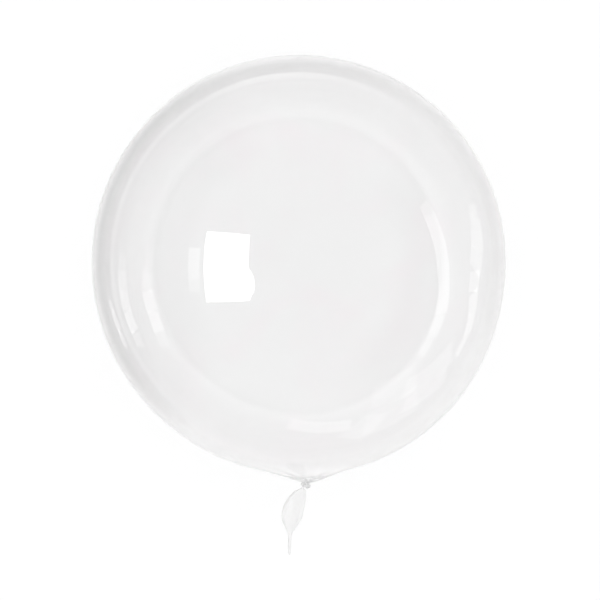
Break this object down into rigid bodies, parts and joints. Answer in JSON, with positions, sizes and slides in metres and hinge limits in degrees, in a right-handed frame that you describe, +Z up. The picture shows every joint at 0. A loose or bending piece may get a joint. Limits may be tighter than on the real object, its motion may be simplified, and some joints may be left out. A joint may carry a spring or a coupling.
{
  "type": "bubble balloon",
  "caption": "Clear round bubble balloon tied in its own neck: spherical film envelope, pleated neck, overhand knot and a short creased tail, lying on a small flat spot.",
  "frame": {"origin": "centre of the flat spot that the balloon rests on, under the middle of the envelope", "axes": "+Y from the neck to the crown, +Z up from the floor through the middle of the envelope, +X to the right seen from above with the crown away from the viewer"},
  "size_m": [0.5, 0.604, 0.4984],
  "materials": {
    "clear_film": "polished"
  },
  "bodies": {
    "root": {"balloon": "clear_film"}
  },
  "joints": []
}
